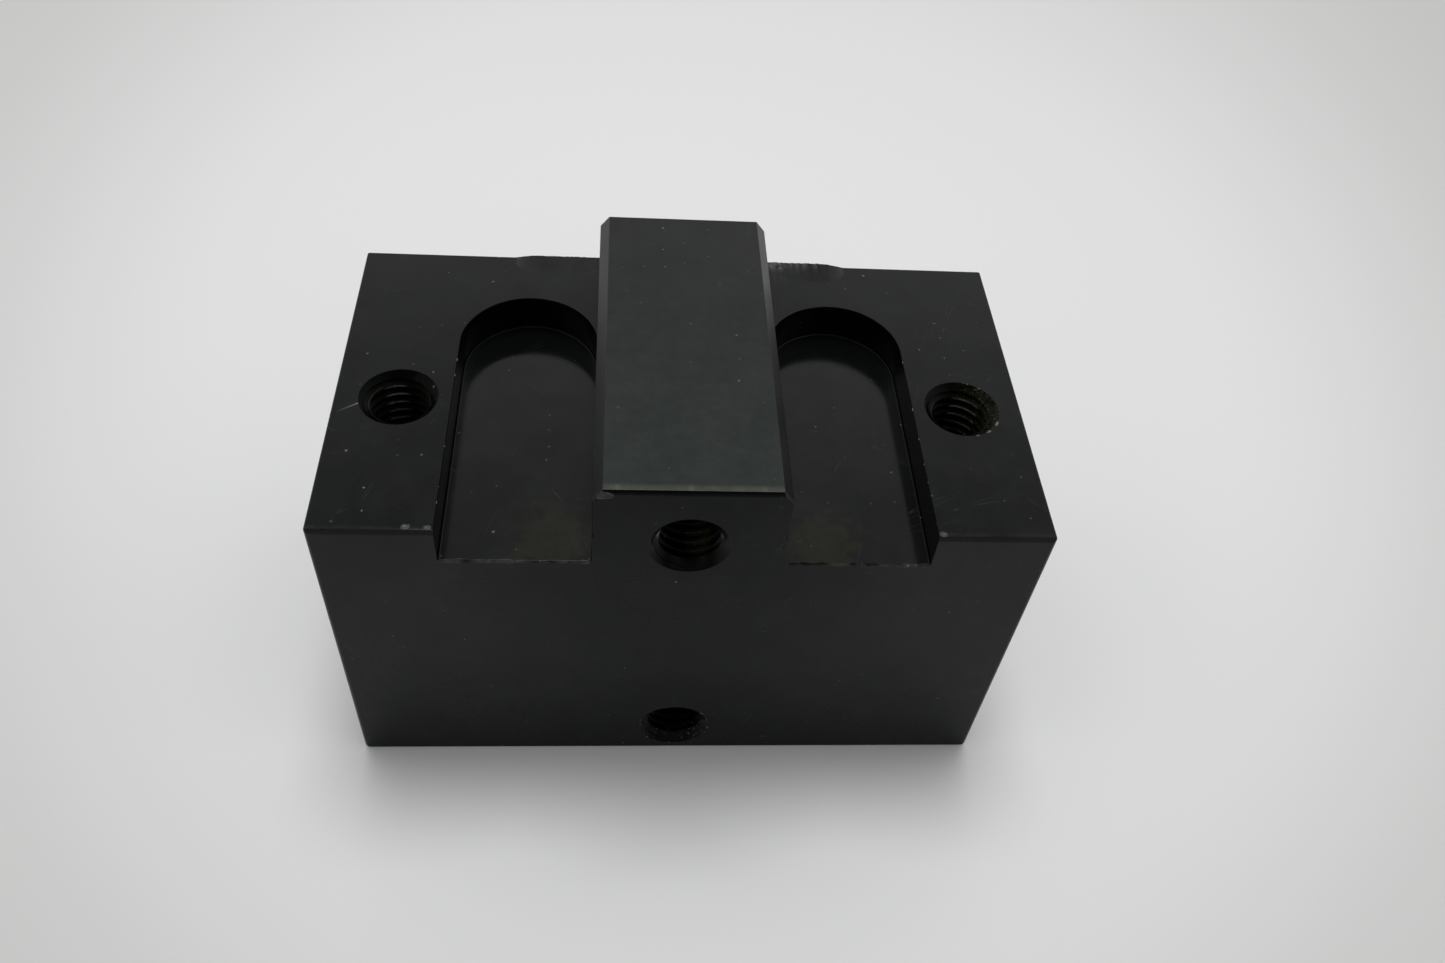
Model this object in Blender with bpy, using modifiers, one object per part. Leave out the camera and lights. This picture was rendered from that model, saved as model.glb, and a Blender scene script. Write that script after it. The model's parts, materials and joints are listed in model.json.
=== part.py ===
"""Mounting block: a small black anodised aluminium block, machined from one bar.

A raised rib runs from front to back along the middle of the top, with a round-ended pocket milled on each
side of it, open to the front. Each end land has one tapped hole, and the front face has two, one above the
other. All of it is cut from one piece of metal, so the part is one solid.

Frame: metres, +X to the right, +Y to the back, +Z up. The origin is the centre of the bottom face.
"""

import math

import bmesh
import bpy

MM = 0.001

# Driving dimensions, in millimetres
LENGTH = 50.0
DEPTH = 28.6
LAND_HEIGHT = 28.1
RIB_HEIGHT = 4.3
RIB_WIDTH = 13.0
RIB_CHAMFER_WIDTH = 0.7
RIB_CHAMFER_HEIGHT = 0.9
LAND_WIDTH = 8.25
POCKET_DEPTH = 2.95
POCKET_REACH = 23.5
TOP_HOLE_SPACING = 41.0
TOP_HOLE_SETBACK = 12.4
LOWER_HOLE_HEIGHT = 3.5
UPPER_HOLE_HEIGHT = 27.0

# Tapped holes, M5 coarse, with a 90 degree countersink and a 118 degree drill point
THREAD_MAJOR = 5.0
THREAD_PITCH = 0.8
COUNTERSINK_DIAMETER = 5.6
THREADED_DEPTH = 12.0
DRILL_POINT_ANGLE = 118.0

# How finely round stretches are divided, and how far a cutter stands out of the face that it cuts
ARC_STEPS = 32
TURN_STEPS = 48
CUTTER_OVERHANG = 1.0

# Worked out from the driving dimensions
FRONT = -DEPTH / 2
OVERALL_HEIGHT = LAND_HEIGHT + RIB_HEIGHT
POCKET_WIDTH = LENGTH / 2 - LAND_WIDTH - RIB_WIDTH / 2
POCKET_CENTRE_X = (RIB_WIDTH + POCKET_WIDTH) / 2
POCKET_FLOOR = LAND_HEIGHT - POCKET_DEPTH
TAP_DRILL_RADIUS = (THREAD_MAJOR - THREAD_PITCH) / 2
DRILLED_DEPTH = THREADED_DEPTH + 3 * THREAD_PITCH


def clear_scene():
    for scene_object in list(bpy.data.objects):
        bpy.data.objects.remove(scene_object, do_unlink=True)


def new_collection(name):
    collection = bpy.data.collections.new(name)
    bpy.context.scene.collection.children.link(collection)
    return collection


def link(name, mesh, collection):
    new_object = bpy.data.objects.new(name, mesh)
    collection.objects.link(new_object)
    return new_object


def black_anodised_aluminium():
    material = bpy.data.materials.new("black_anodised_aluminium")
    material.use_nodes = True
    surface = material.node_tree.nodes["Principled BSDF"]
    surface.inputs["Base Color"].default_value = (0.014, 0.014, 0.015, 1.0)
    surface.inputs["Metallic"].default_value = 0.3
    surface.inputs["Roughness"].default_value = 0.45
    return material


def outline_mesh(name, points, thickness):
    """A flat outline in millimetres, thickened evenly to both sides of its plane, as a closed mesh."""
    curve = bpy.data.curves.new(name + "_outline", "CURVE")
    curve.dimensions = "2D"
    curve.fill_mode = "BOTH"
    curve.extrude = thickness * MM / 2
    spline = curve.splines.new("POLY")
    spline.points.add(len(points) - 1)
    for spline_point, (across, up) in zip(spline.points, points):
        spline_point.co = (across * MM, up * MM, 0.0, 1.0)
    spline.use_cyclic_u = True
    outline = link(name + "_outline", curve, bpy.context.scene.collection)
    evaluated = outline.evaluated_get(bpy.context.evaluated_depsgraph_get())
    mesh = bpy.data.meshes.new_from_object(evaluated)
    mesh.name = name
    bpy.data.objects.remove(outline, do_unlink=True)
    weld_caps(mesh)
    return mesh


def weld_caps(mesh):
    welded = bmesh.new()
    welded.from_mesh(mesh)
    bmesh.ops.remove_doubles(welded, verts=welded.verts, dist=0.001 * MM)
    bmesh.ops.dissolve_limit(welded, angle_limit=math.radians(0.1), verts=welded.verts, edges=welded.edges)
    bmesh.ops.recalc_face_normals(welded, faces=welded.faces)
    welded.to_mesh(mesh)
    welded.free()


def bar_outline():
    """The bar's front view: the block with the rib on top, and the chamfers on the rib's long edges."""
    right_half = [
        (LENGTH / 2, 0.0),
        (LENGTH / 2, LAND_HEIGHT),
        (RIB_WIDTH / 2, LAND_HEIGHT),
        (RIB_WIDTH / 2, OVERALL_HEIGHT - RIB_CHAMFER_HEIGHT),
        (RIB_WIDTH / 2 - RIB_CHAMFER_WIDTH, OVERALL_HEIGHT),
    ]
    left_half = [(-across, up) for across, up in reversed(right_half)]
    return right_half + left_half


def pocket_outline():
    """The pocket's top view: open past the front face, with a full round end towards the back."""
    radius = POCKET_WIDTH / 2
    arc_centre_y = FRONT + POCKET_REACH - radius
    points = [(-radius, FRONT - CUTTER_OVERHANG), (radius, FRONT - CUTTER_OVERHANG)]
    for step in range(ARC_STEPS + 1):
        angle = math.pi * step / ARC_STEPS
        points.append((radius * math.cos(angle), arc_centre_y + radius * math.sin(angle)))
    return points


def tapped_hole_profile():
    """Half section of a tapped hole, down its outer side, with its mouth at height 0."""
    countersink_radius = COUNTERSINK_DIAMETER / 2
    point_depth = TAP_DRILL_RADIUS / math.tan(math.radians(DRILL_POINT_ANGLE / 2))
    return [
        (0.0, CUTTER_OVERHANG),
        (countersink_radius + CUTTER_OVERHANG, CUTTER_OVERHANG),
        (TAP_DRILL_RADIUS, TAP_DRILL_RADIUS - countersink_radius),
        (TAP_DRILL_RADIUS, -DRILLED_DEPTH),
        (0.0, -DRILLED_DEPTH - point_depth),
    ]


def mark_as_cutter(cutter):
    cutter.hide_render = True
    cutter.display_type = "WIRE"


def pocket_cutter(name, centre_x, collection):
    height = POCKET_DEPTH + RIB_HEIGHT + CUTTER_OVERHANG
    cutter = link(name, outline_mesh(name, pocket_outline(), height), collection)
    cutter.location = (centre_x * MM, 0.0, (POCKET_FLOOR + height / 2) * MM)
    mark_as_cutter(cutter)
    return cutter


def hole_cutter(name, mouth, tilt_degrees, collection):
    """A turned cutter whose mouth is centred on a point, tilted about X from pointing down into the top."""
    profile = [(radius * MM, 0.0, height * MM) for radius, height in tapped_hole_profile()]
    mesh = bpy.data.meshes.new(name)
    mesh.from_pydata(profile, [(index, index + 1) for index in range(len(profile) - 1)], [])
    cutter = link(name, mesh, collection)
    cutter.location = [coordinate * MM for coordinate in mouth]
    cutter.rotation_euler = (math.radians(tilt_degrees), 0.0, 0.0)
    turn = cutter.modifiers.new("Turn", "SCREW")
    turn.steps = TURN_STEPS
    turn.render_steps = TURN_STEPS
    turn.use_merge_vertices = True
    turn.merge_threshold = 0.001 * MM
    turn.use_smooth_shade = True
    mark_as_cutter(cutter)
    return cutter


def block_bar(collection):
    """The bar before the pockets and holes: the front view stood upright and centred on the origin."""
    mesh = outline_mesh("block_body", bar_outline(), DEPTH)
    bar = link("block_body", mesh, collection)
    bar.rotation_euler = (math.radians(90.0), 0.0, 0.0)
    bar.data.materials.append(black_anodised_aluminium())
    return bar


def cut(body, cutter):
    boolean = body.modifiers.new(cutter.name, "BOOLEAN")
    boolean.operation = "DIFFERENCE"
    boolean.solver = "EXACT"
    boolean.object = cutter


def build():
    clear_scene()
    parts = new_collection("mounting_block")
    cutters = new_collection("cutters")
    body = block_bar(parts)
    for side, sign in (("left", -1), ("right", 1)):
        cut(body, pocket_cutter(side + "_pocket", sign * POCKET_CENTRE_X, cutters))
    for side, sign in (("left", -1), ("right", 1)):
        mouth = (sign * TOP_HOLE_SPACING / 2, FRONT + TOP_HOLE_SETBACK, LAND_HEIGHT)
        cut(body, hole_cutter(side + "_land_hole", mouth, 0.0, cutters))
    for level, height in (("lower", LOWER_HOLE_HEIGHT), ("upper", UPPER_HOLE_HEIGHT)):
        cut(body, hole_cutter(level + "_front_hole", (0.0, FRONT, height), 90.0, cutters))


build()
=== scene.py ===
"""Looks of the mounting block: the machined shape in full detail, its black anodised finish, and the studio.

Lengths are in millimetres until a mesh or an object is made, and MM turns them into metres. The frame is the
CAD's: +X right, +Y to the back, +Z up, with the origin at the centre of the bottom face.
"""

import json
import math
import random

import bmesh
import bpy
from mathutils import Matrix, Vector


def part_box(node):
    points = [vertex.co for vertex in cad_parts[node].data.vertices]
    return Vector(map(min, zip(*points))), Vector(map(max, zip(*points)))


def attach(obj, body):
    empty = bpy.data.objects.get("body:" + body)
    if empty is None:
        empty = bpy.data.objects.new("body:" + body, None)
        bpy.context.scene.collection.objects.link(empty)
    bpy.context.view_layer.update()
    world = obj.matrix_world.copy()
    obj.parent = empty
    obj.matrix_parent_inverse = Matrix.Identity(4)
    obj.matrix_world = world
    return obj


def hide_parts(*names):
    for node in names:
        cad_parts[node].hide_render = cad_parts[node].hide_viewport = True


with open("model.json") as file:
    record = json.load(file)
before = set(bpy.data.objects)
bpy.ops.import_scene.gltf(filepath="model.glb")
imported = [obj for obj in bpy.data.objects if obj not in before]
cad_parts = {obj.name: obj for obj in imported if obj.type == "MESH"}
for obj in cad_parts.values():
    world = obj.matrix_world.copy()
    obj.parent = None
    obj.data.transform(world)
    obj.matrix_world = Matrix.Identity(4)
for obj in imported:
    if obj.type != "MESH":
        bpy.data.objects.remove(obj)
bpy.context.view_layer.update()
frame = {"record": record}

MM = 0.001
NODE = "block_body"
SEED = 7

# ---------------------------------------------------------------------------------------------------------
# Sizes: the outer ones and the levels come from the frame, the rest are the design's own
# ---------------------------------------------------------------------------------------------------------

low, high = (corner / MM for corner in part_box(NODE))
mounts = {mount["name"]: Vector(mount["pos_m"]) / MM for mount in frame["record"]["mounts"]}
LEFT, RIGHT = low.x, high.x
FRONT, BACK = low.y, high.y
BOTTOM, TOP = low.z, high.z
LAND = mounts["left_land_face"].z
FLOOR = mounts["left_pocket_floor"].z

RIB_WIDTH = 13.0
CHAMFER_WIDTH = 0.7
CHAMFER_HEIGHT = 0.9
LAND_WIDTH = 8.25
POCKET_REACH = 23.5
TOP_HOLE_SPACING = 41.0
TOP_HOLE_SETBACK = 12.4
LOWER_HOLE_HEIGHT = 3.5
UPPER_HOLE_HEIGHT = 27.0

THREAD_MAJOR_RADIUS = 2.5
THREAD_PITCH = 0.8
THREAD_FLANK_ANGLE = 30.0
THREADED_DEPTH = 12.0
BORE_RADIUS = 2.1
BORE_DEPTH = 14.4
COUNTERSINK_RADIUS = 2.8
DRILL_POINT_ANGLE = 118.0

RIB_SIDE = RIB_WIDTH / 2
LAND_INNER_EDGE = RIGHT - LAND_WIDTH
POCKET_RADIUS = (LAND_INNER_EDGE - RIB_SIDE) / 2
POCKET_CENTRE_X = RIB_SIDE + POCKET_RADIUS
POCKET_ARC_Y = FRONT + POCKET_REACH - POCKET_RADIUS

# Radii of the rounded edges
FRONT_BREAK = 0.34
BACK_BREAK = 0.15
BASE_CORNER = 0.4
LAND_CORNER = 0.18
CHAMFER_CORNER = 0.06
RIB_FOOT = 0.08
SHARPEST = 0.02
RIM_FLARE = 0.04
FLOOR_FILLET = 0.15
FLOOR_BREAK = 0.27

# The burr on the lands' back edge, with its height on each side of the rib and distances from the rib's side:
# it starts inside the rib, fades to nothing at its end, and runs on a little way, sunk into the land
BURR_HEIGHTS = ((-1, 0.25), (1, 0.34))
BURR_OVERLAP = 0.5
BURR_REACH = 8.0
BURR_END = 7.6
BURR_FADE = 2.6
BURR_SINK = 0.08

# How finely round and ragged stretches are divided
ROUND_STEPS = 5
ARC_STEPS = 48
TURN_STEPS = 96
BURR_STATIONS = 60
EDGE_STATIONS = 24

OVERHANG = 1.0
WELD_DISTANCE = 0.0001
SHARP_ANGLE = 34.0

# ---------------------------------------------------------------------------------------------------------
# Mesh helpers
# ---------------------------------------------------------------------------------------------------------


def new_piece(name, mesh_source):
    """An object from a bmesh whose lengths are in millimetres."""
    bmesh.ops.scale(mesh_source, vec=(MM, MM, MM), verts=mesh_source.verts)
    mesh = bpy.data.meshes.new(name)
    mesh_source.to_mesh(mesh)
    mesh_source.free()
    piece = bpy.data.objects.new(name, mesh)
    bpy.context.scene.collection.objects.link(piece)
    return piece


def add_loft(target, rings):
    """Adds a closed solid to a bmesh: outlines with the same number of points, joined one after another."""
    rings = [[target.verts.new(point) for point in ring] for ring in rings]
    faces = [target.faces.new(rings[0]), target.faces.new(rings[-1])]
    for before, after in zip(rings, rings[1:]):
        for index in range(len(before)):
            following = (index + 1) % len(before)
            corners = (before[index], before[following], after[following], after[index])
            faces.append(target.faces.new(corners))
    bmesh.ops.recalc_face_normals(target, faces=faces)
    return [vertex for ring in rings for vertex in ring]


def add_turned(target, profile, place):
    """Adds a closed turned solid: a half section that starts and ends on the axis, as (radius, height)."""
    ends = [target.verts.new((0.0, 0.0, profile[0][1])), target.verts.new((0.0, 0.0, profile[-1][1]))]
    rings = []
    for radius, height in profile[1:-1]:
        ring = []
        for step in range(TURN_STEPS):
            angle = math.tau * step / TURN_STEPS
            ring.append(target.verts.new((radius * math.cos(angle), radius * math.sin(angle), height)))
        rings.append(ring)
    faces = []
    for step in range(TURN_STEPS):
        after = (step + 1) % TURN_STEPS
        faces.append(target.faces.new((ends[0], rings[0][step], rings[0][after])))
        for upper, lower in zip(rings, rings[1:]):
            faces.append(target.faces.new((upper[step], lower[step], lower[after], upper[after])))
        faces.append(target.faces.new((rings[-1][step], ends[1], rings[-1][after])))
    bmesh.ops.recalc_face_normals(target, faces=faces)
    bmesh.ops.transform(target, matrix=place, verts=ends + [vertex for ring in rings for vertex in ring])


def add_helix(target, section, start, end, place):
    """Adds a closed right-hand helical bar: a section of (radius, height) points wound up the axis."""
    turns = (end - start) / THREAD_PITCH
    rings = []
    for step in range(round(turns * TURN_STEPS) + 1):
        angle = math.tau * step / TURN_STEPS
        rise = start + THREAD_PITCH * step / TURN_STEPS
        rings.append([
            (radius * math.cos(angle), radius * math.sin(angle), rise + height) for radius, height in section
        ])
    bmesh.ops.transform(target, matrix=place, verts=add_loft(target, rings))


def quarter_round(radius):
    """Steps round a quarter circle between two faces, as the distances from each of them."""
    angles = [math.radians(90.0) * step / ROUND_STEPS for step in range(ROUND_STEPS + 1)]
    return [(radius * (1 - math.cos(angle)), radius * (1 - math.sin(angle))) for angle in angles]


def apply_modifiers(piece):
    evaluated = piece.evaluated_get(bpy.context.evaluated_depsgraph_get())
    mesh = bpy.data.meshes.new_from_object(evaluated)
    piece.modifiers.clear()
    piece.data = mesh


def combine(piece, other, operation):
    """Cuts a piece with another or joins the two. Faces that come from the other keep its material."""
    boolean = piece.modifiers.new(operation, "BOOLEAN")
    boolean.operation = operation
    boolean.solver = "EXACT"
    boolean.material_mode = "TRANSFER"
    boolean.object = other
    apply_modifiers(piece)
    bpy.data.objects.remove(other, do_unlink=True)


# ---------------------------------------------------------------------------------------------------------
# Material helpers
# ---------------------------------------------------------------------------------------------------------

# The span that holds nearly all of a noise texture's values, and a narrower one for more contrast
NOISE_SPAN = (0.3, 0.7)
NARROW_SPAN = (0.35, 0.65)


class Graph:
    """A material's or world's node tree, with short calls for the nodes used here."""

    def __init__(self, owner):
        owner.use_nodes = True
        self.tree = owner.node_tree
        self.tree.nodes.clear()

    def node(self, kind, inputs=None, **settings):
        made = self.tree.nodes.new(kind)
        for key, value in settings.items():
            setattr(made, key, value)
        for key, value in (inputs or {}).items():
            self.feed(made.inputs[key], value)
        return made

    def feed(self, socket, value):
        if isinstance(value, bpy.types.NodeSocket):
            self.tree.links.new(value, socket)
        else:
            socket.default_value = value

    def math(self, operation, first, second=0.0, clamp=False):
        made = self.node("ShaderNodeMath", {0: first, 1: second}, operation=operation, use_clamp=clamp)
        return made.outputs[0]

    def times(self, first, *others):
        """The product of two or more values."""
        for other in others:
            first = self.math("MULTIPLY", first, other)
        return first

    def vector(self, operation, first, second=(0.0, 0.0, 0.0), third=(0.0, 0.0, 0.0)):
        made = self.node("ShaderNodeVectorMath", {0: first, 1: second, 2: third}, operation=operation)
        return made.outputs["Vector"]

    def length(self, first):
        return self.node("ShaderNodeVectorMath", {0: first}, operation="LENGTH").outputs["Value"]

    def dot(self, first, second):
        made = self.node("ShaderNodeVectorMath", {0: first, 1: second}, operation="DOT_PRODUCT")
        return made.outputs["Value"]

    def parts(self, place):
        """The X, Y and Z of a place."""
        return self.node("ShaderNodeSeparateXYZ", {0: place}).outputs

    def flat_place(self, across, along):
        """A place in a plane, from its two coordinates."""
        return self.node("ShaderNodeCombineXYZ", {"X": across, "Y": along}).outputs[0]

    def remap(self, value, from_low, from_high, to_low=0.0, to_high=1.0, smooth=False):
        inputs = {"Value": value, "From Min": from_low, "From Max": from_high}
        inputs.update({"To Min": to_low, "To Max": to_high})
        kind = "SMOOTHSTEP" if smooth else "LINEAR"
        return self.node("ShaderNodeMapRange", inputs, interpolation_type=kind).outputs[0]

    def noise(self, place, scale, detail=2.0, roughness=0.5):
        inputs = {"Vector": place, "Scale": scale, "Detail": detail, "Roughness": roughness}
        return self.node("ShaderNodeTexNoise", inputs).outputs["Fac"]

    def mottle(self, place, scale, to_low=0.0, to_high=1.0, span=NOISE_SPAN, detail=3.0, roughness=0.6):
        """Uneven patches: noise of a scale per millimetre, with a span of its values stretched to a range."""
        return self.remap(self.noise(place, scale, detail, roughness), *span, to_low, to_high)

    def mix(self, factor, first, second):
        made = self.node("ShaderNodeMix", data_type="RGBA")
        self.feed(made.inputs["Factor"], factor)
        self.feed(made.inputs["A"], first)
        self.feed(made.inputs["B"], second)
        return made.outputs["Result"]

    def principled(self, inputs):
        """Ends a material's tree in a Principled surface."""
        surface = self.node("ShaderNodeBsdfPrincipled", inputs)
        self.node("ShaderNodeOutputMaterial", {"Surface": surface.outputs[0]})


def new_material(name):
    """A material with an empty tree, and the place in millimetres of the point that is shaded."""
    material = bpy.data.materials.new(name)
    graph = Graph(material)
    place = graph.node("ShaderNodeTexCoord").outputs["Object"]
    return material, graph, graph.vector("MULTIPLY", place, (1 / MM,) * 3)


def stretched(graph, place, angle, along, across):
    """The place turned about Z and scaled, so that noise read there runs in streaks along one direction.

    along and across say how often the noise changes in a millimetre of each direction.
    """
    scale = (1 / along, 1 / across, 1 / across)
    inputs = {"Vector": place, "Rotation": (0.0, 0.0, math.radians(angle)), "Scale": scale}
    return graph.node("ShaderNodeMapping", inputs, vector_type="TEXTURE").outputs["Vector"]


def along_line(graph, place, start, end):
    """For a line between two points: how far along it a place is, from 0 to 1, and how far from it."""
    start, end = Vector(start), Vector(end)
    offset = graph.vector("SUBTRACT", place, start)
    share = graph.dot(offset, (end - start) / (end - start).length_squared)
    share = graph.math("MINIMUM", graph.math("MAXIMUM", share, 0.0), 1.0)
    nearest = graph.node("ShaderNodeVectorMath", {0: end - start}, operation="SCALE")
    graph.feed(nearest.inputs["Scale"], share)
    return share, graph.length(graph.vector("SUBTRACT", offset, nearest.outputs["Vector"]))


def round_spot(graph, place, centre, squeeze, edge, core):
    """A soft spot: 0 beyond its edge and 1 inside its core. squeeze scales X, Y and Z round its centre."""
    offset = graph.vector("SUBTRACT", place, centre)
    return graph.remap(graph.length(graph.vector("MULTIPLY", offset, squeeze)), edge, core, smooth=True)


# ---------------------------------------------------------------------------------------------------------
# Black anodised aluminium
# ---------------------------------------------------------------------------------------------------------

# The dye, and what makes its second hue greener
BLACK_DYE = (0.0012, 0.0012, 0.0012)
OLIVE_DYE = (0.0014, 0.0010, 0.0006)
GREENER = (0.6, 1.7, 1.5)
HAIRLINE = (0.08, 0.08, 0.08, 1.0)
DUST = (0.15, 0.15, 0.145, 1.0)
LAYER_IOR = 1.5

# For each direction of hairlines: its angle about Z, and how far from the noise's middle value a line reaches
HAIRLINES = ((23.0, 0.0025), (-38.0, 0.003), (74.0, 0.0025))
HAIRLINE_SHARE = 0.25

# Dust: cells per millimetre, the share of cells with a speck on a level and on an upright face, and the
# largest speck's radius
DUST_CELLS = 0.6
LEVEL_DUST = 0.19
UPRIGHT_DUST = 0.05
DUST_RADIUS = 0.14

# How far the blotches, and the grain and tool marks, move the roughness, and how much rougher dust is
BLOTCH_SWING = 0.04
GRAIN_SWING = 0.02
DUST_ROUGHNESS = 0.5

# What each pattern adds to the relief, and the relief's height
GRAIN_RELIEF = 0.4
LAY_RELIEF = 0.4
FAINT_LAY_RELIEF = 0.1
HAIRLINE_RELIEF = 0.8
RELIEF_HEIGHT = 0.002
RELIEF_STRENGTH = 0.8


def tool_marks(graph, place, lay):
    """The cutter's fine marks: parallel ones at an angle about Z, upright ones, or arcs across a pocket."""
    if lay == "upright":
        return graph.noise(graph.vector("MULTIPLY", place, (6.0, 6.0, 0.3)), 1.0, 3.0, 0.6)
    if lay == "arcs":
        parts = graph.parts(place)
        aside = graph.math("SUBTRACT", graph.math("ABSOLUTE", parts["X"]), POCKET_CENTRE_X)
        square = graph.math("SUBTRACT", POCKET_RADIUS ** 2, graph.times(aside, aside))
        reach = graph.math("SQRT", graph.math("MAXIMUM", square, 0.0))
        behind_arc = graph.math("SUBTRACT", parts["Y"], reach)
        return graph.noise(graph.flat_place(behind_arc, graph.times(aside, 0.06)), 4.0, 3.0, 0.6)
    return graph.noise(stretched(graph, place, lay or 0.0, along=0.35, across=9.0), 1.0, 3.0, 0.6)


def scratches(graph, place):
    """Sparse hairline scratches, in three directions."""
    total = None
    for angle, width in HAIRLINES:
        streak = graph.noise(stretched(graph, place, angle, along=0.07, across=0.9), 1.0, 1.0)
        line = graph.math("LESS_THAN", graph.math("ABSOLUTE", graph.math("SUBTRACT", streak, 0.5)), width)
        elsewhere = stretched(graph, place, angle + 31.0, along=0.23, across=0.41)
        patch = graph.mottle(elsewhere, 1.0, span=(0.61, 0.66), detail=2.0, roughness=0.5)
        line = graph.times(line, patch)
        total = line if total is None else graph.math("MAXIMUM", total, line)
    return total


def dust_specks(graph, place, upright):
    """Small soft specks: a share of the cells of a Voronoi pattern, each with its own size and strength."""
    parts = graph.parts(place)
    if upright:
        flat = graph.flat_place(graph.math("ADD", parts["X"], parts["Y"]), parts["Z"])
    else:
        flat = graph.flat_place(parts["X"], parts["Y"])
    shaken = graph.node("ShaderNodeTexNoise", {"Vector": flat, "Scale": 7.0}).outputs["Color"]
    inputs = {"Vector": graph.vector("MULTIPLY_ADD", shaken, (0.12, 0.12, 0.0), flat), "Scale": DUST_CELLS}
    cells = graph.node("ShaderNodeTexVoronoi", inputs, voronoi_dimensions="2D", feature="F1")
    draw = graph.node("ShaderNodeSeparateColor", {0: cells.outputs["Color"]})
    chosen = graph.math("LESS_THAN", draw.outputs[0], UPRIGHT_DUST if upright else LEVEL_DUST)
    smallest = 0.35 * DUST_RADIUS * DUST_CELLS
    radius = graph.remap(draw.outputs[1], 0.0, 1.0, smallest, DUST_RADIUS * DUST_CELLS)
    depth = graph.math("DIVIDE", graph.math("SUBTRACT", radius, cells.outputs["Distance"]), radius)
    strength = graph.remap(graph.math("POWER", draw.outputs[2], 3.0), 0.0, 1.0, 0.2, 1.0)
    speck = graph.remap(depth, 0.0, 0.7, 0.0, strength, smooth=True)
    return graph.times(chosen, speck)


def anodised_colour(graph, place, tint, film, scratch, dust):
    """The dye in two close hues, and over it the film (on some faces painted sheen, highlights and glints),
    the hairlines and the dust.
    """
    elsewhere = graph.vector("ADD", place, (31.0, 7.0, 13.0))
    hue = graph.mottle(elsewhere, 0.45, span=NARROW_SPAN, roughness=0.5)
    greener = [level * part for level, part in zip(GREENER, tint)]
    colour = graph.mix(hue, (*tint, 1.0), (*greener, 1.0))
    if film:
        share, film_colour = film(graph, place)
        colour = graph.mix(share, colour, film_colour)
    colour = graph.mix(graph.times(scratch, HAIRLINE_SHARE), colour, HAIRLINE)
    return graph.mix(dust, colour, DUST)


def anodised(name, shine, roughness, lay=None, tint=BLACK_DYE, bumps=1.0, upright=False, film=None):
    """Black anodised aluminium.

    shine is its specular level and roughness its roughness, both on average. lay says how its tool marks run,
    as tool_marks takes it, or is None where they show little. upright is for faces that gather little dust.
    film is a function that adds a film, stain, rub mark or painted light: it takes the graph and the place,
    and returns the share of the film and its colour.
    """
    material, graph, place = new_material(name)
    fine = graph.noise(place, 5.0, 4.0, 0.65)
    blotch = graph.noise(place, 0.3, 4.0, 0.6)
    marks = tool_marks(graph, place, lay)
    scratch = scratches(graph, place)
    dust = dust_specks(graph, place, upright)

    rough = graph.remap(blotch, *NOISE_SPAN, roughness - BLOTCH_SWING, roughness + BLOTCH_SWING)
    for pattern in (fine, marks):
        rough = graph.math("ADD", rough, graph.remap(pattern, *NOISE_SPAN, -GRAIN_SWING, GRAIN_SWING))
    rough = graph.math("ADD", rough, graph.times(dust, DUST_ROUGHNESS), clamp=True)

    height = graph.times(fine, GRAIN_RELIEF * bumps)
    height = graph.math("ADD", height, graph.times(marks, FAINT_LAY_RELIEF if lay is None else LAY_RELIEF))
    height = graph.math("SUBTRACT", height, graph.times(scratch, HAIRLINE_RELIEF))
    inputs = {"Height": height, "Distance": RELIEF_HEIGHT * MM, "Strength": RELIEF_STRENGTH}
    bump = graph.node("ShaderNodeBump", inputs)

    graph.principled({
        "Base Color": anodised_colour(graph, place, tint, film, scratch, dust),
        "Roughness": rough,
        "IOR": LAYER_IOR,
        "Specular IOR Level": graph.remap(blotch, *NOISE_SPAN, 0.9 * shine, 1.1 * shine),
        "Normal": bump.outputs[0],
    })
    return material


# ---------------------------------------------------------------------------------------------------------
# Films, rubs and stains on the anodised faces, and painted sheen, highlights and glints
# ---------------------------------------------------------------------------------------------------------

# Painted sheen on the block's sides
PAINTED_SIDE_SHEEN = (0.0122, 0.0122, 0.0122, 1.0)
RIB_RUB = (0.019, 0.025, 0.022, 1.0)
# Painted highlight along the rib's rounded front edge
RIB_EDGE_HIGHLIGHT = (0.075, 0.075, 0.062, 1.0)
LAND_RUB = (0.02, 0.02, 0.018, 1.0)
LAND_SCRATCH = (0.16, 0.16, 0.15, 1.0)
FLOOR_FILM = (0.0035, 0.004, 0.004, 1.0)
OIL = (0.013, 0.013, 0.0065, 1.0)
CHAMFER_RUB = (0.0105, 0.011, 0.0105, 1.0)
WORN_EDGE = (0.05, 0.05, 0.045, 1.0)
BURR_SCUFF = (0.065, 0.065, 0.06, 1.0)
CRUSHED = (0.075, 0.075, 0.07, 1.0)
# Painted glints on the land holes' thread crests, paler deeper down
UPPER_CREST_GLINT = (0.15, 0.15, 0.135, 1.0)
DEEP_CREST_GLINT = (0.5, 0.5, 0.45, 1.0)
TORN_WALL = (0.04, 0.04, 0.022, 1.0)
TORN_RIM = (0.08, 0.08, 0.075, 1.0)
HOLE_OLIVE_PATCH = (0.05, 0.05, 0.027, 1.0)
# Painted reflection on the front holes' left and right sides
HOLE_FLANK_REFLECTION = (0.045, 0.047, 0.047, 1.0)
# Painted glints in the upper front hole's mouth
HOLE_PAINTED_GLINT = (0.12, 0.15, 0.17, 1.0)
CHIP_DARK = (0.04, 0.04, 0.037, 1.0)
CHIP_BRIGHT = (0.17, 0.17, 0.16, 1.0)


def painted_side_sheen(graph, place):
    """Painted sheen on the sides, strongest high up and away from the middle."""
    parts = graph.parts(place)
    aside = graph.remap(graph.math("ABSOLUTE", parts["X"]), 5.0, 17.0)
    up = graph.remap(parts["Z"], 10.0, 26.0, 0.2, 1.0)
    return graph.times(aside, up), PAINTED_SIDE_SHEEN


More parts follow.
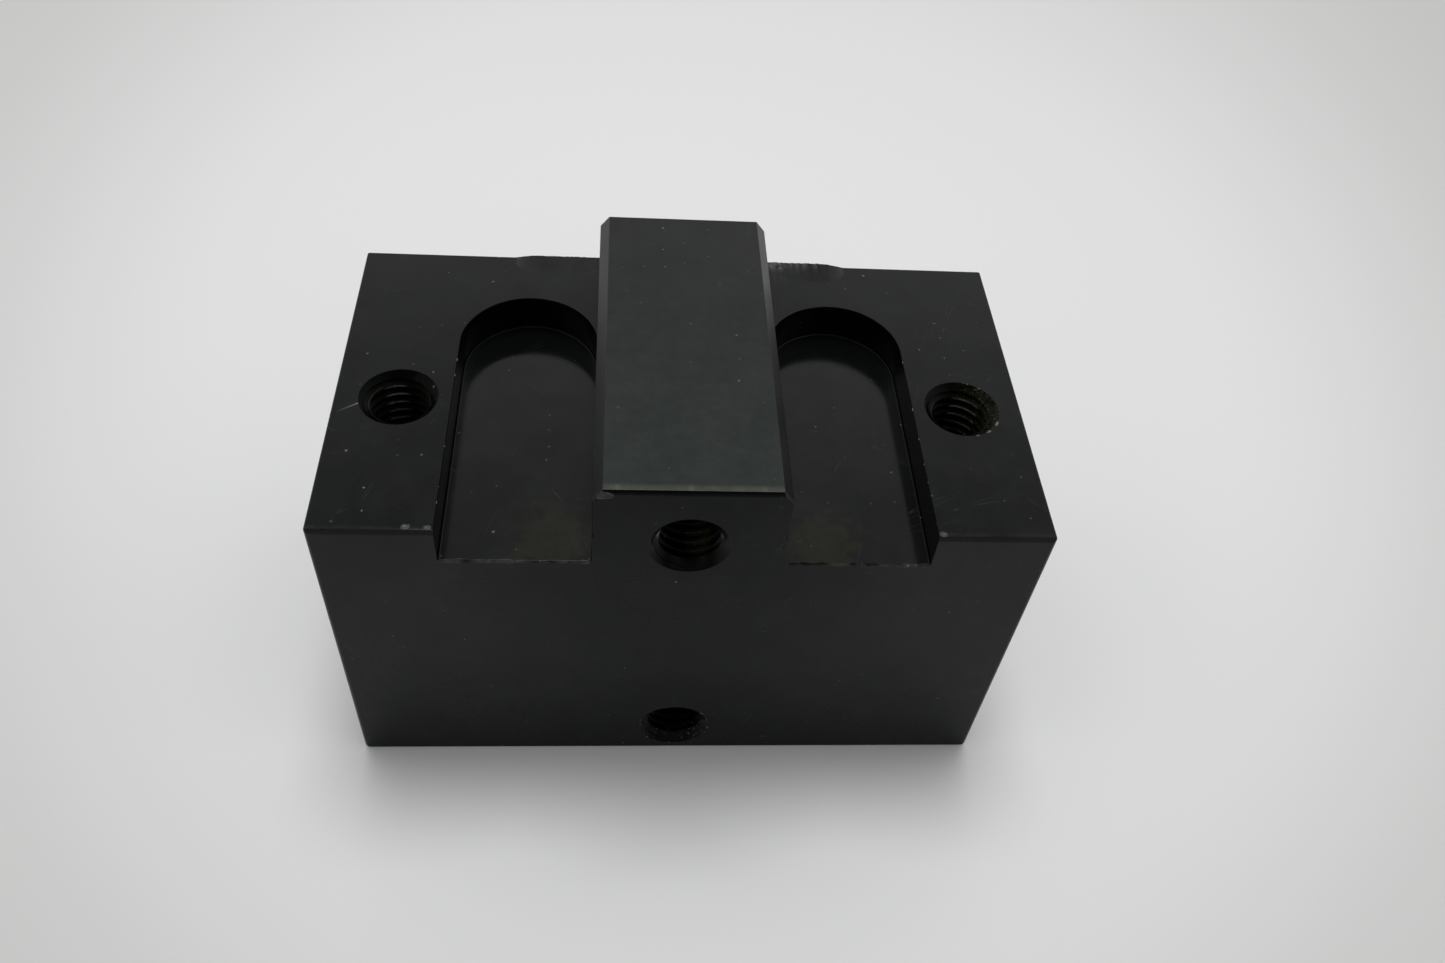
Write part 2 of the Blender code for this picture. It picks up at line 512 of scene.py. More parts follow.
def rib_top_rub_and_edge_highlight(graph, place):
    """A greenish grey rub on the rib's top, stronger towards the front.

    A pale uneven band along the front edge is a painted highlight of the edge's rounding, brightest in three
    spots a fixed spacing apart.
    """
    parts = graph.parts(place)
    share = graph.remap(parts["Y"], BACK, FRONT, 0.15, 1.0)
    share = graph.math("MULTIPLY", share, graph.mottle(place, 1.1, 0.75, 1.1, detail=4.0), clamp=True)
    spot_spacing = 4.7
    wave = graph.math("COSINE", graph.times(graph.math("ADD", parts["X"], 0.2), math.tau / spot_spacing))
    patches = graph.times(graph.mottle(place, 0.8, 0.55, 1.0), 0.8)
    patches = graph.math("MAXIMUM", patches, graph.remap(wave, 0.9, 0.99))
    # Painted highlight along the front edge
    edge_highlight = graph.times(graph.remap(parts["Y"], FRONT + 0.8, FRONT + 0.5), patches)
    return share, graph.mix(edge_highlight, RIB_RUB, RIB_EDGE_HIGHLIGHT)


def marked_lands(graph, place):
    """A faint rub along the lands' front edges, and one scratch beside the left hole, deeper at the hole."""
    patches = graph.mottle(place, 0.8, 0.1, 0.5, span=NARROW_SPAN)
    edge = graph.times(graph.remap(graph.parts(place)["Y"], FRONT + 0.6, FRONT + 0.4), patches)
    start = (LEFT + 0.5, -3.5, LAND)
    end = (LEFT + 1.95, -2.55, LAND)
    share, distance = along_line(graph, place, start, end)
    line = graph.remap(distance, 0.1, 0.03, smooth=True)
    line = graph.times(line, graph.remap(share, 0.0, 1.0, 0.25, 1.0))
    return graph.math("MAXIMUM", edge, line), graph.mix(line, LAND_RUB, LAND_SCRATCH)


def oily_corners(graph, place):
    """A thin grey film on the pocket floors, with olive patches at their inner front corners."""
    corner = (RIB_SIDE + 2.6, FRONT + 1.8, FLOOR)
    offset = graph.vector("SUBTRACT", graph.vector("ABSOLUTE", place), graph.vector("ABSOLUTE", corner))
    raggedness = graph.mottle(place, 0.8, -2.0, 2.0, span=(0.2, 0.8), detail=4.0)
    distance = graph.math("ADD", graph.length(offset), raggedness)
    front_half = graph.math("LESS_THAN", graph.parts(place)["Y"], 0.0)
    patch = graph.times(graph.remap(distance, 1.5, 3.6, 1.0, 0.0, smooth=True), front_half)
    patch = graph.times(patch, graph.mottle(place, 2.2, 0.6, 1.0, span=NARROW_SPAN))
    film_share = 0.9
    return film_share, graph.mix(patch, FLOOR_FILM, OIL)


def rubbed_chamfer(graph, place):
    """A thin grey rub on the rib's chamfers, fading towards the front."""
    fade = graph.remap(graph.parts(place)["Y"], FRONT + 1.0, FRONT + 12.0, 0.0, 1.0)
    return graph.times(fade, graph.mottle(place, 1.1, 0.7, 1.0, detail=4.0)), CHAMFER_RUB


def worn_edge(graph, place):
    """Patches of paler metal along an edge that is rubbed often."""
    grain = graph.mottle(place, 5.0, 0.5, 1.0, span=NARROW_SPAN)
    patches = graph.mottle(place, 0.55, span=(0.42, 0.6))
    return graph.times(patches, grain), WORN_EDGE


def rubbed_burr(graph, place):
    """Pale scuffs on the burr at the back, on the right just beside the rib."""
    parts = graph.parts(place)
    beside = graph.math("ABSOLUTE", graph.math("SUBTRACT", parts["X"], RIB_SIDE + 1.1))
    near_rib = graph.remap(beside, 1.3, 0.5)
    near_back = graph.remap(parts["Y"], BACK - 1.0, BACK - 0.6)
    scuffs = graph.mottle(place, 3.0, span=(0.45, 0.6), detail=4.0, roughness=0.7)
    return graph.times(near_rib, near_back, scuffs), BURR_SCUFF


def dented(graph, place):
    """The grey of a dent, where the dye is crushed but not gone."""
    return graph.mottle(place, 4.0, 0.5, 1.0, span=NARROW_SPAN), CRUSHED


def crest_line(graph, aside, along, height):
    """The share of a fine line wound along the middle of the thread's crest in the land holes, where the
    glints are painted.
    """
    turn = graph.math("DIVIDE", graph.math("ARCTAN2", along, aside), math.tau)
    rise = graph.math("DIVIDE", graph.math("SUBTRACT", height, LAND), THREAD_PITCH)
    phase = graph.math("FRACT", graph.math("SUBTRACT", rise, turn))
    return graph.remap(graph.math("ABSOLUTE", graph.math("SUBTRACT", phase, 0.5)), 0.14, 0.07)


def painted_crest_glints(graph, parts, place):
    """Painted glints on the thread crests at the back of each land hole, on the side that faces the camera,
    and a faint painted highlight ring where the thread starts.
    """
    side = graph.math("SIGN", parts["X"])
    aside = graph.math("SUBTRACT", parts["X"], graph.times(side, TOP_HOLE_SPACING / 2))
    along = graph.math("SUBTRACT", parts["Y"], FRONT + TOP_HOLE_SETBACK)
    radius = graph.length(graph.flat_place(aside, along))
    lean = graph.remap(side, -1.0, 1.0, -0.24, 0.45)
    facing = graph.math("ADD", graph.times(aside, lean), graph.times(along, 0.93))
    facing = graph.math("DIVIDE", facing, radius)
    crest = graph.remap(radius, BORE_RADIUS + 0.03, BORE_RADIUS + 0.01)
    crest = graph.times(crest, crest_line(graph, aside, along, parts["Z"]))
    crest = graph.times(crest, graph.remap(facing, 0.86, 0.94, 0.06, 1.0, smooth=True))
    ring = graph.remap(radius, BORE_RADIUS + 0.12, BORE_RADIUS + 0.05)
    ring = graph.times(ring, graph.remap(parts["Z"], LAND - 0.8, LAND - 0.7), 0.12)
    crest = graph.math("MAXIMUM", crest, ring)
    return graph.times(crest, graph.mottle(place, 1.5, 0.4, 1.0, span=(0.35, 0.6), roughness=0.5))


def inside_land_holes(graph, place):
    """Painted glints on the thread crests at the back of each hole, and olive specks in the right hole's torn
    wall.
    """
    parts = graph.parts(place)
    crest = painted_crest_glints(graph, parts, place)
    torn = graph.remap(parts["X"], 20.3, 22.0, 0.02, 1.0)
    patches = graph.mottle(place, 1.7, 0.0, 0.16, span=(0.4, 0.6))
    spots = graph.mottle(place, 6.0, span=(0.55, 0.64), roughness=0.7)
    spots = graph.times(torn, graph.math("MAXIMUM", spots, patches))
    depth = graph.remap(parts["Z"], LAND - 1.0, LAND - 4.5)
    crest_colour = graph.mix(depth, UPPER_CREST_GLINT, DEEP_CREST_GLINT)
    colour = graph.mix(graph.math("GREATER_THAN", crest, spots), TORN_WALL, crest_colour)
    return graph.math("MAXIMUM", crest, spots), colour


def inside_front_holes(graph, place):
    """Painted bluish glints and an olive patch in the upper hole's mouth, pale torn specks in the lower
    one's, and a painted reflection that lightens both holes at their left and right sides.
    """
    parts = graph.parts(place)
    mirrored = graph.vector("ABSOLUTE", place)
    # Painted bluish glints on both sides of the upper hole's mouth
    painted_glint_centre = (2.02, -FRONT - 0.5, UPPER_HOLE_HEIGHT + 0.35)
    painted_glint = round_spot(graph, mirrored, painted_glint_centre, (3.0, 1.8, 1.5), edge=1.0, core=0.3)
    olive_patch_centre = (0.8, FRONT + 2.4, UPPER_HOLE_HEIGHT - 2.0)
    olive_patch = round_spot(graph, place, olive_patch_centre, (0.9, 0.6, 0.8), edge=1.2, core=0.4)
    olive_patch = graph.times(olive_patch, graph.mottle(place, 5.0, 0.4, 1.0, span=(0.5, 0.6), roughness=0.7))
    torn = graph.mottle(place, 4.0, span=(0.62, 0.7), detail=2.0)
    torn = graph.times(torn, graph.math("LESS_THAN", parts["Z"], LAND / 2))
    share = graph.math("MAXIMUM", painted_glint, graph.math("MAXIMUM", olive_patch, graph.times(torn, 0.7)))
    colour = graph.mix(torn, HOLE_OLIVE_PATCH, TORN_RIM)
    # Painted reflection: each front hole lighter at its left and right sides
    flank_reflection = graph.times(graph.remap(graph.math("ABSOLUTE", parts["X"]), 1.4, 2.5, smooth=True), 0.2)
    colour = graph.mix(graph.math("GREATER_THAN", flank_reflection, share), colour, HOLE_FLANK_REFLECTION)
    return graph.math("MAXIMUM", share, flank_reflection), graph.mix(painted_glint, colour, HOLE_PAINTED_GLINT)


def bare_metal(name):
    """The aluminium that shows where the anodised layer is chipped off."""
    material, graph, place = new_material(name)
    grain = graph.noise(place, 14.0, 3.0, 0.6)
    bump = graph.node("ShaderNodeBump", {"Height": grain, "Distance": 0.01 * MM})
    graph.principled({
        "Base Color": graph.mix(graph.remap(grain, 0.4, 0.6), CHIP_DARK, CHIP_BRIGHT),
        "Metallic": 0.4,
        "Roughness": graph.remap(grain, *NOISE_SPAN, 0.4, 0.6),
        "Normal": bump.outputs[0],
    })
    return material


FINISHES = {
    "side": anodised("anodised_side", 0.12, 0.25, lay="upright", upright=True, film=painted_side_sheen),
    "land": anodised("anodised_land", 0.225, 0.2, lay=0.0, film=marked_lands),
    "rib_top": anodised("anodised_rib_top", 0.245, 0.25, lay=90.0, film=rib_top_rub_and_edge_highlight),
    "chamfer": anodised("anodised_chamfer", 0.42, 0.34, lay=90.0, film=rubbed_chamfer),
    "pocket": anodised("anodised_pocket", 0.3, 0.14, lay="arcs", film=oily_corners),
    "wall": anodised("anodised_wall", 0.14, 0.2, tint=OLIVE_DYE, upright=True),
    "worn": anodised("anodised_worn", 0.25, 0.3, film=worn_edge),
    "dent": anodised("anodised_dent", 0.25, 0.4, bumps=2.0, film=dented),
    "land_hole": anodised(
        "anodised_land_hole", 0.045, 0.2, tint=OLIVE_DYE, bumps=1.5, film=inside_land_holes
    ),
    "front_hole": anodised(
        "anodised_front_hole", 0.06, 0.2, tint=OLIVE_DYE, bumps=1.5, film=inside_front_holes
    ),
    "burr": anodised("anodised_burr", 0.39, 0.24, film=rubbed_burr),
    "chip": bare_metal("bare_aluminium"),
}
FINISH_ORDER = list(FINISHES)


def wear(piece, finish):
    """Gives a cutter the finish of the faces that it leaves."""
    piece.data.materials.append(FINISHES[finish])


# ---------------------------------------------------------------------------------------------------------
# The block
# ---------------------------------------------------------------------------------------------------------


def front_view():
    """The block's corners from the front, each with the radius that rounds it, going round anticlockwise."""
    right_half = [
        (RIGHT, BOTTOM, BASE_CORNER),
        (RIGHT, LAND, LAND_CORNER),
        (RIB_SIDE, LAND, RIB_FOOT),
        (RIB_SIDE, TOP - CHAMFER_HEIGHT, CHAMFER_CORNER),
        (RIB_SIDE - CHAMFER_WIDTH, TOP, CHAMFER_CORNER),
    ]
    corners = right_half + [(-across, up, radius) for across, up, radius in reversed(right_half)]
    return [(Vector((across, up)), radius) for across, up, radius in corners]


def inset_outline(corners, inset):
    """An outline moved inwards by a distance, with its corners rounded, as a list of points."""
    points = []
    for index, (corner, radius) in enumerate(corners):
        to_last = (corners[index - 1][0] - corner).normalized()
        to_next = (corners[(index + 1) % len(corners)][0] - corner).normalized()
        convex = to_last.x * to_next.y - to_last.y * to_next.x < 0
        inwards = (to_last + to_next).normalized() * (1 if convex else -1)
        half_angle = to_last.angle(to_next) / 2
        moved = corner + inwards * inset / math.sin(half_angle)
        radius = max(SHARPEST, radius - inset) if convex else radius + inset
        tangent = radius / math.tan(half_angle)
        centre = moved + (to_last + to_next).normalized() * radius / math.sin(half_angle)
        first = moved + to_last * tangent - centre
        last = moved + to_next * tangent - centre
        sweep = first.angle_signed(last)
        for step in range(ROUND_STEPS + 1):
            points.append(centre + Matrix.Rotation(-sweep * step / ROUND_STEPS, 2) @ first)
    return points


def crisper(point, inset):
    """Takes back most of an inset along the bottom and the rib's sides, whose front edges are crisper."""
    share_below = 0.6
    share_aside = 0.75
    across, up = point
    if up < LAND / 2:
        up -= share_below * inset
    elif up > LAND:
        across += math.copysign(share_aside * inset, across)
    return across, up


def rounded_bar():
    """The block before milling: its front view from front to back, with both ends rounded over."""
    rings = []
    for end, inwards, radius in ((FRONT, 1, FRONT_BREAK), (BACK, -1, BACK_BREAK)):
        stations = []
        for run, inset in quarter_round(radius):
            outline = [crisper(point, inset) for point in inset_outline(front_view(), inset)]
            stations.append([(across, end + inwards * run, up) for across, up in outline])
        rings += stations if inwards > 0 else reversed(stations)
    solid = bmesh.new()
    add_loft(solid, rings)
    return new_piece("block", solid)


def burr_section(rise):
    """The burr's section as (along, up): buried in the land, sloping up to its crest at the back face."""
    return [
        (BACK - 2.6, LAND - 0.6),
        (BACK - 2.5, LAND - 0.06),
        (BACK - 0.9, LAND + 0.4 * rise),
        (BACK - 0.08, LAND + rise),
        (BACK - 0.03, LAND - 0.6),
    ]


def raise_back_edge(block, draw):
    """A ragged burr on the lands' back edge, from the rib to about 5 mm beside it, dying away beyond."""
    for side, height in BURR_HEIGHTS:
        rings = []
        for station in range(BURR_STATIONS + 1):
            aside = -BURR_OVERLAP + (BURR_OVERLAP + BURR_REACH) * station / BURR_STATIONS
            fade = min(1.0, max(0.0, (BURR_END - aside) / BURR_FADE))
            eased = fade * fade * (3 - 2 * fade)
            rise = (height + BURR_SINK) * eased * draw.uniform(0.9, 1.04) - BURR_SINK
            rings.append([(side * (RIB_SIDE + aside), along, up) for along, up in burr_section(rise)])
        solid = bmesh.new()
        add_loft(solid, rings)
        bmesh.ops.triangulate(solid, faces=solid.faces)
        burr = new_piece("burr", solid)
        wear(burr, "burr")
        combine(block, burr, "UNION")


def pocket_ring(side, height, growth):
    """A pocket's outline from above at one height, open past the front, with a round end.

    growth widens it everywhere but at the side of the rib. side is 1 for the right pocket, -1 for the left.
    """
    outline = [(RIB_SIDE - min(growth, 0.0), FRONT - OVERHANG)]
    radius = POCKET_RADIUS + growth
    outline.append((POCKET_CENTRE_X + radius, FRONT - OVERHANG))
    for step in range(ARC_STEPS + 1):
        angle = math.pi * step / ARC_STEPS
        inner_share = max(0.0, -math.cos(angle))
        reach = radius - max(growth, 0.0) * inner_share
        outline.append((POCKET_CENTRE_X + reach * math.cos(angle), POCKET_ARC_Y + reach * math.sin(angle)))
    return [(side * across, along, height) for across, along in outline]


def pocket_levels():
    """Heights of the pocket cutter with its growth there: filleted at the floor, and flared at the rim."""
    fillet = [(FLOOR + rise, -inset) for rise, inset in quarter_round(FLOOR_FILLET)]
    return fillet + [(LAND - RIM_FLARE, 0.0), (LAND, RIM_FLARE), (TOP + OVERHANG, RIM_FLARE)]


def mill_pockets(block):
    """Cuts both pockets, which run out through the front face."""
    solid = bmesh.new()
    for side in (-1, 1):
        add_loft(solid, [pocket_ring(side, height, growth) for height, growth in pocket_levels()])
    cutter = new_piece("pockets", solid)
    wear(cutter, "wall")
    combine(block, cutter, "DIFFERENCE")


def soften_pocket_fronts(block, draw):
    """Rounds the front edge of each pocket floor, by an amount that wanders along the edge as wear does."""
    solid = bmesh.new()
    for side in (-1, 1):
        rings = []
        width = 2 * POCKET_RADIUS - 2 * FLOOR_FILLET
        for station in range(EDGE_STATIONS + 1):
            across = RIB_SIDE + FLOOR_FILLET + width * station / EDGE_STATIONS
            radius = FLOOR_BREAK * draw.uniform(0.5, 1.1)
            section = [(FRONT - OVERHANG, FLOOR - radius)]
            section += [(FRONT + run, FLOOR - drop) for run, drop in quarter_round(radius)]
            section += [(FRONT + radius, FLOOR + OVERHANG), (FRONT - OVERHANG, FLOOR + OVERHANG)]
            rings.append([(side * across, along, height) for along, height in section])
        add_loft(solid, rings)
    bmesh.ops.triangulate(solid, faces=solid.faces)
    cutter = new_piece("floor_fronts", solid)
    wear(cutter, "worn")
    combine(block, cutter, "DIFFERENCE")


def paint_faces(block):
    """Gives each flat face the finish of its place."""
    flat = 0.9
    sloping = 0.4
    margin = 0.3
    floor_margin = 0.01
    for face in block.data.polygons:
        centre = face.center / MM
        finish = FINISH_ORDER[face.material_index]
        if face.normal.z > flat and finish != "burr":
            if centre.z > TOP - margin:
                finish = "rib_top"
            elif centre.z > LAND - margin:
                finish = "land"
            elif abs(centre.z - FLOOR) < floor_margin:
                finish = "pocket"
        elif min(face.normal.z, abs(face.normal.x)) > sloping and centre.z > TOP - CHAMFER_HEIGHT:
            finish = "chamfer"
        face.material_index = FINISH_ORDER.index(finish)


# Each hole's mouth, its tilt about X, and its finish
HOLES = {
    "left_land": (Vector((-TOP_HOLE_SPACING / 2, FRONT + TOP_HOLE_SETBACK, LAND)), 0.0, "land_hole"),
    "right_land": (Vector((TOP_HOLE_SPACING / 2, FRONT + TOP_HOLE_SETBACK, LAND)), 0.0, "land_hole"),
    "lower_front": (Vector((0.0, FRONT, LOWER_HOLE_HEIGHT)), 90.0, "front_hole"),
    "upper_front": (Vector((0.0, FRONT, UPPER_HOLE_HEIGHT)), 90.0, "front_hole"),
}


def hole_profile():
    """Half section of a countersunk bore: a softened mouth, the countersink, the bore and the drill point."""
    lip = 0.05
    point_depth = BORE_RADIUS / math.tan(math.radians(DRILL_POINT_ANGLE / 2))
    return [
        (0.0, OVERHANG),
        (COUNTERSINK_RADIUS + 2 * OVERHANG, OVERHANG),
        (COUNTERSINK_RADIUS, 0.0),
        (COUNTERSINK_RADIUS - 2 * lip, -lip),
        (BORE_RADIUS, BORE_RADIUS - COUNTERSINK_RADIUS + lip),
        (BORE_RADIUS, -BORE_DEPTH),
        (0.0, -BORE_DEPTH - point_depth),
    ]


def thread_section():
    """Section of the groove between two turns of the thread: 60 degree flanks and a flat root."""
    overlap = 0.15
    inner = BORE_RADIUS - overlap
    root_half = THREAD_PITCH / 16
    inner_half = root_half + (THREAD_MAJOR_RADIUS - inner) * math.tan(math.radians(THREAD_FLANK_ANGLE))
    return [
        (inner, -inner_half),
        (THREAD_MAJOR_RADIUS, -root_half),
        (THREAD_MAJOR_RADIUS, root_half),
        (inner, inner_half),
    ]


def tap_holes(block):
    """Bores all the holes at once, then threads them all. Each takes its own finish."""
    run_out = 0.3
    finishes = sorted({finish for _, _, finish in HOLES.values()})
    for shape in ("bore", "thread"):
        solid = bmesh.new()
        for mouth, tilt, finish in HOLES.values():
            place = Matrix.Translation(mouth) @ Matrix.Rotation(math.radians(tilt), 4, "X")
            faces_before = len(solid.faces)
            if shape == "bore":
                add_turned(solid, hole_profile(), place)
            else:
                add_helix(solid, thread_section(), -THREADED_DEPTH, run_out, place)
            for face in list(solid.faces)[faces_before:]:
                face.material_index = finishes.index(finish)
        bmesh.ops.triangulate(solid, faces=solid.faces)
        cutter = new_piece(shape, solid)
        for finish in finishes:
            wear(cutter, finish)
        combine(block, cutter, "DIFFERENCE")


# The larger knocks, as (centre, half sizes along X, Y and Z): one at the rib's front left corner, three on
# the lands' front edges, and one on the front face's left edge
DENTS = [
    (Vector((-RIB_SIDE + 0.75, FRONT, TOP - 0.38)), (0.68, 0.2, 0.33)),
    (Vector((-LAND_INNER_EDGE - 1.8, FRONT + 0.5, LAND)), (0.32, 0.26, 0.1)),
    (Vector((-LAND_INNER_EDGE - 0.4, FRONT + 0.45, LAND)), (0.26, 0.22, 0.08)),
    (Vector((LAND_INNER_EDGE + 0.35, FRONT + 0.42, LAND)), (0.3, 0.24, 0.1)),
    (Vector((LEFT, FRONT, LAND * 0.65)), (0.2, 0.2, 0.55)),
]


def dent_edges(block, draw):
    """Shallow dents along the edges, where the metal is crushed."""
    unevenness = 0.05
    solid = bmesh.new()
    for centre, half_sizes in DENTS:
        place = Matrix.Translation(centre) @ Matrix.Diagonal((*half_sizes, 1.0))
        made = bmesh.ops.create_icosphere(solid, subdivisions=3, radius=1.0, matrix=place)
        for vertex in made["verts"]:
            vertex.co += Vector([draw.uniform(-unevenness, unevenness) * size for size in half_sizes])
    cutter = new_piece("dents", solid)
    wear(cutter, "dent")
    combine(block, cutter, "DIFFERENCE")


def chips_along(draw, start, end, count, sizes):
    """Chips along a straight edge, as (point, direction of the edge, size)."""
    start, end = Vector(start), Vector(end)
    chips = []
    for index in range(count):
        share = (index + draw.uniform(0.1, 0.9)) / count
        chips.append((start.lerp(end, share), (end - start).normalized(), draw.uniform(*sizes)))
    return chips


def chips_around(draw, hole, first, last, count, sizes):
    """Chips on a hole's mouth between two angles in degrees, in the same form."""
    mouth, tilt, _ = HOLES[hole]
    turn = Matrix.Rotation(math.radians(tilt), 3, "X")
    chips = []
    for index in range(count):
        angle = math.radians(first + (last - first) * (index + draw.uniform(0.1, 0.9)) / count)
        outwards = turn @ Vector((math.cos(angle), math.sin(angle), 0.0))
        tangent = turn @ Vector((-math.sin(angle), math.cos(angle), 0.0))
        chips.append((mouth + outwards * COUNTERSINK_RADIUS, tangent, draw.uniform(*sizes)))
    return chips


def chipped_edges():
    """Each chipped edge's two ends, its number of chips, and their smallest and largest size."""
    edges = []
    for side in (-1, 1):
        rib = side * RIB_SIDE
        rim = side * LAND_INNER_EDGE
        edge = side * RIGHT
        inner = side * (RIB_SIDE + 0.3)
        outer = side * (LAND_INNER_EDGE - 0.3)
        start = outer + side * 0.8
        edges += [
            ((inner, FRONT, FLOOR), (outer, FRONT, FLOOR), 7, (0.05, 0.12)),
            ((start, FRONT, LAND), (edge, FRONT, LAND), 4, (0.05, 0.1)),
            ((rim, FRONT + 1, LAND), (rim, POCKET_ARC_Y, LAND), 7, (0.03, 0.08)),
            ((edge, FRONT + 2, LAND), (edge, BACK - 2, LAND), 5, (0.04, 0.1)),
            ((edge, FRONT, 3), (edge, FRONT, LAND - 2), 4, (0.04, 0.12)),
            ((rib, BACK, LAND), (edge, BACK, LAND), 8, (0.04, 0.12)),
        ]
    return edges + [((-RIB_SIDE, FRONT, TOP), (RIB_SIDE, FRONT, TOP), 4, (0.04, 0.1))]


# For each chipped stretch of a hole's mouth: the hole, two angles in degrees, and the same numbers
CHIPPED_MOUTHS = [
    ("right_land", -85.0, -25.0, 5, (0.03, 0.14)),
    ("right_land", 50.0, 85.0, 3, (0.03, 0.1)),
    ("lower_front", 15.0, 45.0, 2, (0.1, 0.14)),
    ("lower_front", 60.0, 370.0, 11, (0.03, 0.09)),
]


def chip_places(draw):
    """The chips that are clear of the dents and of each other, so that no two cuts touch."""
    candidates = []
    for start, end, count, sizes in chipped_edges():
        candidates += chips_along(draw, start, end, count, sizes)
    for hole, first, last, count, sizes in CHIPPED_MOUTHS:
        candidates += chips_around(draw, hole, first, last, count, sizes)
    reach = 3
    places = []
    for point, direction, size in candidates:
        from_chips = [(point - other).length - reach * (size + near) for other, _, near in places]
        from_dents = [(point - centre).length - reach * size - max(half) for centre, half in DENTS]
        if min(from_chips + from_dents) > 0:
            places.append((point, direction, size))
    return places


def chip_edges(block, draw):
    """Small chips knocked out of the edges, through the anodised layer."""
    unevenness = 0.12
    solid = bmesh.new()
    for point, direction, size in chip_places(draw):
        turn = direction.to_track_quat("X", "Z").to_matrix().to_4x4()
        shape = Matrix.Diagonal((size * draw.uniform(1.0, 2.5), size, size * draw.uniform(0.6, 1.0), 1.0))
        place = Matrix.Translation(point) @ turn @ shape
        made = bmesh.ops.create_icosphere(solid, subdivisions=2, radius=1.0, matrix=place)
        for vertex in made["verts"]:
            vertex.co += Vector([draw.uniform(-unevenness, unevenness) * size for _ in range(3)])
    cutter = new_piece("chips", solid)
    wear(cutter, "chip")
    combine(block, cutter, "DIFFERENCE")


def weld(block):
    """Merges the points that the cuts leave almost on top of each other."""
    work = bmesh.new()
    work.from_mesh(block.data)
    bmesh.ops.remove_doubles(work, verts=work.verts, dist=WELD_DISTANCE * MM)
    bmesh.ops.dissolve_degenerate(work, dist=WELD_DISTANCE * MM, edges=work.edges)
    work.to_mesh(block.data)
    work.free()


def shade(block):
    """Smooth shading over round stretches, with sharp edges at corners and round each chip and hole."""
    block.data.shade_smooth()
    block.data.set_sharp_from_angle(angle=math.radians(SHARP_ANGLE))
    work = bmesh.new()
    work.from_mesh(block.data)
    for edge in work.edges:
        if len({face.material_index for face in edge.link_faces}) > 1:
            edge.smooth = False
    work.to_mesh(block.data)
    work.free()
    normals = block.modifiers.new("Even shading", "WEIGHTED_NORMAL")
    normals.keep_sharp = True
    normals.weight = 100


def build_block():
    """Builds the block step by step, and lets it stand for the CAD's node."""
    draw = random.Random(SEED)
    block = rounded_bar()
    for finish in FINISH_ORDER:
        block.data.materials.append(FINISHES[finish])
    raise_back_edge(block, draw)
    mill_pockets(block)
    soften_pocket_fronts(block, draw)
    paint_faces(block)
    dent_edges(block, draw)
    chip_edges(block, draw)
    tap_holes(block)
    weld(block)
    shade(block)
    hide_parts(NODE)
    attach(block, "root")


# ---------------------------------------------------------------------------------------------------------
# The studio
# ---------------------------------------------------------------------------------------------------------

FLOOR_HALF = 2000.0
# The floor's colours: in its painted pool of light near the block, far from it, and at the picture's corners
FLOOR_NEAR = (0.87, 0.88, 0.875, 1.0)
FLOOR_FAR = (0.768, 0.772, 0.768, 1.0)
FLOOR_CORNER = (0.52, 0.52, 0.51, 1.0)

KEY_DISTANCE = 600.0
KEY_ELEVATION = 81.0
KEY_SIZE = 220.0
KEY_POWER = 1.45

ROOM_COLOUR = (1.0, 1.0, 0.995, 1.0)
BACKDROP_STRENGTH = 0.68

CAMERA_PLACE = Vector((-4.99, -63.74, 89.83))
CAMERA_AZIMUTH = -7.67
CAMERA_ELEVATION = 48.43
CAMERA_ROLL = 6.67
CAMERA_LENS = 29.9
CAMERA_SENSOR = 36.0
CAMERA_NEAREST = 1.0


def camera_turn():
    """The camera's rotation."""
    azimuth, elevation, roll = map(math.radians, (CAMERA_AZIMUTH, CAMERA_ELEVATION, CAMERA_ROLL))
    aim = Matrix.Rotation(azimuth, 3, "Z") @ Matrix.Rotation(math.pi / 2 - elevation, 3, "X")
    return aim @ Matrix.Rotation(roll, 3, "Z")


def lens_falloff(graph, place):
    """How far the picture darkens towards its corners: the floor carries the lens's falloff."""
    from_camera = graph.vector("NORMALIZE", graph.vector("SUBTRACT", place, CAMERA_PLACE))
    ahead = camera_turn() @ Vector((0.0, 0.0, -1.0))
    cosine_off_axis = graph.dot(from_camera, ahead)
    return graph.remap(cosine_off_axis, 0.93, 0.80, 0.0, 0.5, smooth=True)


def pale_floor():
    """A wide plain sheet with a painted pool of light, a little darker away from the block."""
    sheet = bmesh.new()
    bmesh.ops.create_grid(sheet, x_segments=1, y_segments=1, size=FLOOR_HALF)
    floor = new_piece("studio_floor", sheet)
    material, graph, place = new_material("pale_floor")
    # Centre of the painted pool of light
    brightest = (0.0, 20.0, 0.0)
    distance = graph.length(graph.vector("SUBTRACT", place, brightest))
    colour = graph.mix(graph.remap(distance, 20.0, 160.0, smooth=True), FLOOR_NEAR, FLOOR_FAR)
    colour = graph.mix(lens_falloff(graph, place), colour, FLOOR_CORNER)
    graph.principled({"Base Color": colour, "Roughness": 0.85, "Specular IOR Level": 0.2})
    floor.data.materials.append(material)


